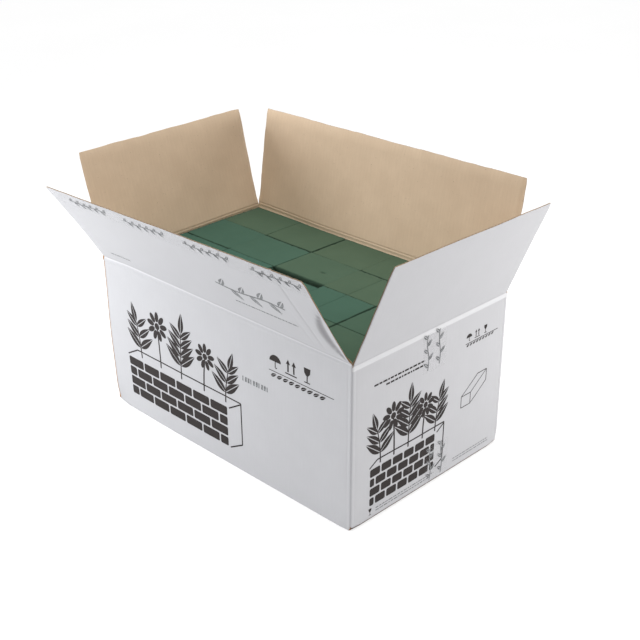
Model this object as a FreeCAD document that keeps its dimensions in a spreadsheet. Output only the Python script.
# Open shipping carton packed with floral foam bricks.
# A slotted carton of single-wall board holds bricks of wet foam standing on end, four rows of five.
# Its bottom flaps are taped shut, and its four top flaps stand open at different angles.
# Frame: origin at the middle of the underside, +X along the long side, +Z up.
# The long walls face -Y (front) and +Y (rear); the short walls face -X (left) and +X (right).
import FreeCAD, Part

import math
import os

import Sketcher

SIZES = {
    "board": 3.0,  # thickness of the corrugated board
    "outer_length": 502.0,  # carton over its short walls
    "outer_width": 312.0,  # carton over its long walls
    "brick_tall": 230.0,  # a brick's longest side, which stands upright
    "brick_wide": 98.5,  # along X
    "brick_deep": 76.0,  # along Y
    "brick_edge": 0.5,  # crumbled edge of a brick
    "column_count": 5.0,
    "row_count": 4.0,
    "flap_air": 0.6,  # bricks to the closed short flaps
    "leaf_gap": 0.2,  # closed short flaps to the closed long flaps
    "flap_reach": 155.5,  # crease to free edge, just under half the width
    "long_flap_inset": 2.6,  # slot beside each long flap
    "short_flap_inset": 3.2,  # slot beside each short flap
    "hinge_gap": 0.3,  # a top flap's root to its crease
    "rim_flat": 0.1,  # width left at the top of a wall's bevel
    "crease_radius": 1.5,  # fold at a bottom flap
    "front_tilt": 33.0,  # top flaps, degrees outward from upright
    "right_tilt": 22.0,
    "rear_tilt": 9.2,
    "left_tilt": 15.9,
    "tab_long": 37.0,  # glue tab of the carton's own seam
    "tab_thick": 1.2,
    "tab_setback": 1.0,  # tab's fold to the outside of the left wall
    "tab_drop": 8.0,  # tab's end to the wall's end
    "tab_taper": 15.0,
    "tape_wide": 48.0,
    "tape_thick": 0.2,
    "tape_offset": 15.0,  # bottom tape's middle to the rear of the seam
    "bottom_tail": 61.0,  # bottom tape up each short wall
    "top_tail": 57.0,  # what is left of the cut top tape on each short wall
    "top_tail_drop": 4.0,  # below the crease
    "front_strip": 28.0,  # cut top tape left on the front flap
    "rear_strip": 20.0,  # and on the rear flap
}

# Derived sizes, as expressions on the sheet.
BOARD = "Sizes.board"
HALF_LENGTH = "Sizes.outer_length / 2"
HALF_WIDTH = "Sizes.outer_width / 2"
SHORT_CREASE = "(3 * Sizes.board + Sizes.brick_tall + Sizes.flap_air)"
LONG_CREASE = f"({SHORT_CREASE} + Sizes.leaf_gap + Sizes.board)"
COLUMN_PITCH = "((Sizes.outer_length - 2 * Sizes.board) / Sizes.column_count)"
ROW_PITCH = "((Sizes.outer_width - 2 * Sizes.board) / Sizes.row_count)"

UP = FreeCAD.Vector(0, 0, 1)
TURNS = {"front": 0, "right": 90, "rear": 180, "left": 270}  # a side's turn about +Z from the front
POCKET_TOLERANCE = 0.02  # share of a pocket's volume that may be missing from the body
LOW_BRICK = (3, 3)  # row and column of the brick that has sunk onto the outer bottom flaps

doc = FreeCAD.newDocument("foam_brick_carton")


def make_sheet():
    """Puts every driving dimension in the spreadsheet under its own alias."""
    sheet = doc.addObject("Spreadsheet::Sheet", "Sizes")
    for row, (alias, value) in enumerate(SIZES.items(), start=1):
        sheet.set(f"A{row}", alias)
        sheet.set(f"B{row}", str(value))
        sheet.setAlias(f"B{row}", alias)
    doc.recompute()
    return sheet


sheet = make_sheet()


def value_of(expression):
    """The number that an expression on the sheet comes to."""
    result = sheet.evalExpression(expression)
    return float(getattr(result, "Value", result))


def new_body(name):
    """An empty body whose Label names its node."""
    body = doc.addObject("PartDesign::Body", name)
    body.Label = name
    return body


def new_sketch(body, name, plane):
    """A sketch on one of the body's own origin planes."""
    sketch = body.newObject("Sketcher::SketchObject", f"{body.Name}_{name}")
    origin_plane = next(f for f in body.Origin.OriginFeatures if f.Role == plane)
    sketch.AttachmentSupport = [(origin_plane, "")]
    sketch.MapMode = "FlatFace"
    return sketch


def pin(sketch, geometry, point, kind, expression):
    """Holds one coordinate of a sketch point at an expression's value, measured from the sketch's origin."""
    constraint = Sketcher.Constraint(kind, -1, 1, geometry, point, value_of(expression))
    index = sketch.addConstraint(constraint)
    sketch.setExpression(f"Constraints[{index}]", expression)


def vector_of(corner):
    """A corner given as two expressions, as a point of the sketch's plane."""
    return FreeCAD.Vector(value_of(corner[0]), value_of(corner[1]), 0)


def draw_polygon(sketch, corners):
    """A closed outline of straight lines through corners given as pairs of expressions."""
    count = len(corners)
    points = [vector_of(c) for c in corners]
    for i in range(count):
        sketch.addGeometry(Part.LineSegment(points[i], points[(i + 1) % count]), False)
    for i in range(count):
        sketch.addConstraint(Sketcher.Constraint("Coincident", i, 2, (i + 1) % count, 1))
    for i, (across, up) in enumerate(corners):
        pin(sketch, i, 1, "DistanceX", across)
        pin(sketch, i, 1, "DistanceY", up)


def rectangle(low_x, high_x, low_y, high_y):
    """The four corners of an upright rectangle."""
    return [(low_x, low_y), (high_x, low_y), (high_x, high_y), (low_x, high_y)]


def pad(body, sketch, length, midplane=False):
    """Extrudes a sketch along its normal."""
    feature = body.newObject("PartDesign::Pad", f"{sketch.Name}_pad")
    feature.Profile = sketch
    feature.setExpression("Length", length)
    feature.Midplane = midplane
    sketch.Visibility = False
    return feature


def pocket(body, sketch, length, is_reversed):
    """Cuts a sketch into the body and makes sure that it has removed the prism that was meant."""
    doc.recompute()
    before = body.Shape.Volume
    feature = body.newObject("PartDesign::Pocket", f"{sketch.Name}_pocket")
    feature.Profile = sketch
    feature.setExpression("Length", length)
    feature.Reversed = is_reversed
    doc.recompute()
    wanted = Part.Face(sketch.Shape.Wires[0]).Area * value_of(length)
    removed = before - body.Shape.Volume
    if abs(removed - wanted) > POCKET_TOLERANCE * wanted:
        raise RuntimeError(f"{feature.Name} removed {removed:.1f} of {wanted:.1f} cubic millimetres")
    return feature


def edge_near(shape, point):
    """The name of the edge whose middle is nearest to a point."""
    distances = [(e.CenterOfMass - point).Length for e in shape.Edges]
    return f"Edge{distances.index(min(distances)) + 1}"


def dress(body, kind, name, points, size_property, size):
    """A fillet or chamfer on the body's edges nearest to the given points."""
    doc.recompute()
    base = body.Tip
    feature = body.newObject(kind, f"{body.Name}_{name}")
    feature.Base = (base, [edge_near(base.Shape, p) for p in points])
    feature.setExpression(size_property, size)
    return feature


def place_side(body, side, rise):
    """Turns a body drawn facing -Y to its own side and sets its outer face on that side."""
    turn = TURNS[side]
    half = HALF_WIDTH if side in ("front", "rear") else HALF_LENGTH
    angle = math.radians(turn)
    body.Placement = FreeCAD.Placement(FreeCAD.Vector(), FreeCAD.Rotation(UP, turn))
    body.setExpression(".Placement.Base.x", f"{round(math.sin(angle))} * {half}")
    body.setExpression(".Placement.Base.y", f"{-round(math.cos(angle))} * {half}")
    body.setExpression(".Placement.Base.z", rise)


# --- walls ---------------------------------------------------------------------------------------


def draw_wall_plan(sketch, half, left_end, right_end):
    """A wall seen from above, outer face on the X axis, board inward along +Y.

    A mitre end is half of the rounded corner, a square end is the raw edge of the carton's seam,
    and a butt end stops at the inner face of the wall that it meets.
    """
    arc_middle = f"({half} - {BOARD} + {BOARD} * cos(45 deg))"
    ends = {
        "mitre": [(f"{half} - {BOARD}", BOARD), (arc_middle, f"{BOARD} - {BOARD} * sin(45 deg)")],
        "square": [(half, BOARD), (half, "0 * Sizes.board")],
        "butt": [(f"{half} - {BOARD}", BOARD), (f"{half} - {BOARD}", "0 * Sizes.board")],
    }
    right = ends[right_end]
    left = [(f"-({across})", up) for across, up in reversed(ends[left_end])]
    tangent = (f"{half} - {BOARD}", "0 * Sizes.board")
    corners = list(right)
    arcs = {}
    if right_end == "mitre":
        arcs[len(corners) - 1] = (f"{half} - {BOARD}", -90, -45)
        corners.append(tangent)
    if left_end == "mitre":
        arcs[len(corners)] = (f"-({half} - {BOARD})", -135, -90)
        corners.append((f"-({tangent[0]})", tangent[1]))
    corners += left
    draw_outline(sketch, corners, arcs)


def draw_outline(sketch, corners, arcs):
    """A closed outline whose numbered sides are arcs of the board's thickness about a centre on the inner face."""
    count = len(corners)
    points = [vector_of(c) for c in corners]
    for i in range(count):
        if i in arcs:
            centre_x, start, end = arcs[i]
            centre = vector_of((centre_x, BOARD))
            circle = Part.Circle(centre, UP, value_of(BOARD))
            sketch.addGeometry(Part.ArcOfCircle(circle, math.radians(start), math.radians(end)), False)
        else:
            sketch.addGeometry(Part.LineSegment(points[i], points[(i + 1) % count]), False)
    # an arc runs anticlockwise, against the outline's own direction, so its two ends change places
    first = {i: 2 if i in arcs else 1 for i in range(count)}
    for i in range(count):
        following = (i + 1) % count
        sketch.addConstraint(Sketcher.Constraint("Coincident", i, 3 - first[i], following, first[following]))
    mitred = set()
    for i, (centre_x, start, _) in arcs.items():
        pin(sketch, i, 3, "DistanceX", centre_x)
        pin(sketch, i, 3, "DistanceY", BOARD)
        mitred.add(i if start == -90 else (i + 1) % count)
    for i, (across, up) in enumerate(corners):
        pin(sketch, i, first[i], "DistanceX", across)
        if i not in mitred:
            pin(sketch, i, first[i], "DistanceY", up)


def make_wall(side, left_end, right_end):
    """One upright wall: its plan, raised to the crease, with the top bevelled for the flap to close."""
    is_long = side in ("front", "rear")
    half = HALF_LENGTH if is_long else HALF_WIDTH
    crease = LONG_CREASE if is_long else SHORT_CREASE
    foot = BOARD if is_long else f"2 * {BOARD}"
    body = new_body(f"{side}_wall")
    plan = new_sketch(body, "plan", "XY_Plane")
    draw_wall_plan(plan, half, left_end, right_end)
    pad(body, plan, f"{crease} - {foot}")
    top = FreeCAD.Vector(0, value_of(BOARD), value_of(f"{crease} - {foot}"))
    dress(body, "PartDesign::Chamfer", "rim", [top], "Size", f"{BOARD} - Sizes.rim_flat")
    place_side(body, side, foot)
    return body


def tab_corners(rise):
    """The glue tab's outline on the front wall, seen from the front, at a height above the outline's base."""
    left = f"-({HALF_LENGTH}) + Sizes.tab_setback"
    right = f"{left} + Sizes.tab_long"
    low = f"{rise} + Sizes.tab_drop"
    high = f"{rise} + {SHORT_CREASE} - 2 * {BOARD} - Sizes.tab_drop"
    return [
        (left, low),
        (right, f"{low} + Sizes.tab_taper"),
        (right, f"{high} - Sizes.tab_taper"),
        (left, high),
    ]


def make_glue_tab():
    """The left wall's glue tab, pressed into the inner face of the front wall at their corner."""
    body = new_body("glue_tab")
    outline = new_sketch(body, "outline", "XZ_Plane")
    draw_polygon(outline, tab_corners(f"2 * {BOARD}"))
    pad(body, outline, "Sizes.tab_thick")
    body.setExpression(".Placement.Base.y", f"-({HALF_WIDTH}) + {BOARD}")


def crush_front_wall(body):
    """The band of the front wall that is pressed thin under the glue tab."""
    outline = new_sketch(body, "crushed_band", "XZ_Plane")
    outline.setExpression(".AttachmentOffset.Base.z", f"-({BOARD})")
    draw_polygon(outline, tab_corners(BOARD))
    pocket(body, outline, "Sizes.tab_thick", True)


# --- flaps ---------------------------------------------------------------------------------------


def tilted(inward, along, tilt):
    """A point of a flap's section, from its distance inward of the outer face and along the flap."""
    return (
        f"({inward}) * cos({tilt}) - ({along}) * sin({tilt})",
        f"({inward}) * sin({tilt}) + ({along}) * cos({tilt})",
    )


def make_section_pad(name, side, section, half_span):
    """A flat piece on a top flap: its section across the crease, extruded along the crease."""
    tilt = f"Sizes.{side}_tilt * 1 deg"
    body = new_body(name)
    sketch = new_sketch(body, "section", "YZ_Plane")
    draw_polygon(sketch, [tilted(inward, along, tilt) for inward, along in section])
    pad(body, sketch, f"2 * ({half_span})", midplane=True)
    place_side(body, side, LONG_CREASE if side in ("front", "rear") else SHORT_CREASE)


def flap_half_span(side):
    """Half of a flap's length along its crease."""
    if side in ("front", "rear"):
        return f"{HALF_LENGTH} - Sizes.long_flap_inset"
    return f"{HALF_WIDTH} - Sizes.short_flap_inset"


def make_top_flap(side):
    """One open top flap. Its hinge line is the outer edge of the crease, and its root is bevelled like the wall."""
    root = "Sizes.hinge_gap"
    section = [
        ("0", root),
        ("0", "Sizes.flap_reach"),
        (BOARD, "Sizes.flap_reach"),
        (BOARD, f"{root} + {BOARD}"),
    ]
    make_section_pad(f"{side}_top_flap", side, section, flap_half_span(side))


def make_flap_tape(side):
    """The strip of cut tape that still sticks to the outer face of a long top flap, along its free edge."""
    width = f"Sizes.{side}_strip"
    section = [
        ("0", f"Sizes.flap_reach - {width}"),
        ("-Sizes.tape_thick", f"Sizes.flap_reach - {width}"),
        ("-Sizes.tape_thick", "Sizes.flap_reach"),
        ("0", "Sizes.flap_reach"),
    ]
    make_section_pad(f"{side}_flap_tape", side, section, flap_half_span(side))


def make_bottom_flap(side):
    """One closed bottom flap. The short pair lies on the long pair, which carries the recess for the tape."""
    is_long = side in ("front", "rear")
    half_span = flap_half_span(side)
    body = new_body(f"{side}_bottom_flap")
    plan = new_sketch(body, "plan", "XY_Plane")
    draw_polygon(plan, rectangle(f"-({half_span})", half_span, "0 * Sizes.board", "Sizes.flap_reach"))
    pad(body, plan, BOARD)
    dress(body, "PartDesign::Fillet", "fold", [FreeCAD.Vector()], "Radius", "Sizes.crease_radius")
    if is_long:
        bed = new_sketch(body, "tape_bed", "XY_Plane")
        sign = "+" if side == "front" else "-"
        start = f"{HALF_WIDTH} - Sizes.tape_wide / 2 {sign} Sizes.tape_offset"
        draw_polygon(bed, rectangle(f"-({half_span})", half_span, start, "Sizes.flap_reach"))
        pocket(body, bed, "Sizes.tape_thick", True)
    place_side(body, side, "0 * Sizes.board" if is_long else BOARD)


# --- tape ----------------------------------------------------------------------------------------


def make_bottom_tape():
    """One length of tape over the bottom seam, off its middle, with a tail up each short wall."""
    body = new_body("bottom_tape")
    section = new_sketch(body, "section", "XZ_Plane")
    outside = f"{HALF_LENGTH} + Sizes.tape_thick"
    tail = "Sizes.bottom_tail"
    draw_polygon(
        section,
        [
            (f"-({outside})", tail),
            (f"-({outside})", "0 * Sizes.board"),
            (outside, "0 * Sizes.board"),
            (outside, tail),
            (HALF_LENGTH, tail),
            (HALF_LENGTH, "Sizes.tape_thick"),
            (f"-({HALF_LENGTH})", "Sizes.tape_thick"),
            (f"-({HALF_LENGTH})", tail),
        ],
    )
    pad(body, section, "Sizes.tape_wide", midplane=True)
    body.setExpression(".Placement.Base.y", "Sizes.tape_offset")


def make_wall_tape_tail(side):
    """The end of the cut top tape that still sticks to a short wall."""
    body = new_body(f"{side}_wall_tape_tail")
    outline = new_sketch(body, "outline", "XZ_Plane")
    half = "Sizes.tape_wide / 2"
    high = f"{SHORT_CREASE} - Sizes.top_tail_drop"
    draw_polygon(outline, rectangle(f"-({half})", half, f"{high} - Sizes.top_tail", high))
    pad(body, outline, "Sizes.tape_thick")
    place_side(body, side, "0 * Sizes.board")


# --- foam bricks ---------------------------------------------------------------------------------


def make_brick(row, column):
    """One foam brick on end. Row 1 is at the rear and column 1 at the left."""
    body = new_body(f"foam_brick_r{row}_c{column}")
    plan = new_sketch(body, "plan", "XY_Plane")
    half_wide = "Sizes.brick_wide / 2"
    half_deep = "Sizes.brick_deep / 2"
    draw_polygon(plan, rectangle(f"-({half_wide})", half_wide, f"-({half_deep})", half_deep))
    block = pad(body, plan, "Sizes.brick_tall")
    doc.recompute()
    crumbled = body.newObject("PartDesign::Chamfer", f"{body.Name}_edges")
    crumbled.Base = (block, [""])
    crumbled.UseAllEdges = True
    crumbled.setExpression("Size", "Sizes.brick_edge")
    body.setExpression(".Placement.Base.x", f"({column} - (Sizes.column_count + 1) / 2) * {COLUMN_PITCH}")
    body.setExpression(".Placement.Base.y", f"((Sizes.row_count + 1) / 2 - {row}) * {ROW_PITCH}")
    body.setExpression(".Placement.Base.z", BOARD if (row, column) == LOW_BRICK else f"2 * {BOARD}")


# --- the whole carton ----------------------------------------------------------------------------


def make_carton():
    """Every piece of the carton and what is in it."""
    front_wall = make_wall("front", "square", "mitre")
    crush_front_wall(front_wall)
    make_wall("rear", "mitre", "mitre")
    make_wall("right", "mitre", "mitre")
    make_wall("left", "mitre", "butt")
    make_glue_tab()
    for side in TURNS:
        make_top_flap(side)
        make_bottom_flap(side)
    for side in ("front", "rear"):
        make_flap_tape(side)
    for side in ("left", "right"):
        make_wall_tape_tail(side)
    make_bottom_tape()
    for row in range(1, int(SIZES["row_count"]) + 1):
        for column in range(1, int(SIZES["column_count"]) + 1):
            make_brick(row, column)


def check_document():
    """Stops if any object failed to compute or any piece isn't one valid solid."""
    for item in doc.Objects:
        if "Invalid" in item.State or "Error" in item.State:
            raise RuntimeError(f"{item.Name} is in state {item.State}")
    for body in pieces():
        shape = body.Shape
        if shape.isNull() or not shape.isValid() or len(shape.Solids) != 1:
            raise RuntimeError(f"{body.Label} isn't one valid solid")


def pieces():
    """Every body, one for each node."""
    return [item for item in doc.Objects if item.TypeId == "PartDesign::Body"]


def write_pieces():
    """One STEP file for each node, named after its Label."""
    os.makedirs("parts", exist_ok=True)
    for body in pieces():
        body.Shape.exportStep(os.path.join("parts", f"{body.Label}.step"))


make_carton()
doc.recompute()
check_document()
write_pieces()
for piece in pieces():
    print(f"{piece.Label}: {piece.Shape.Volume:.1f} cubic millimetres")
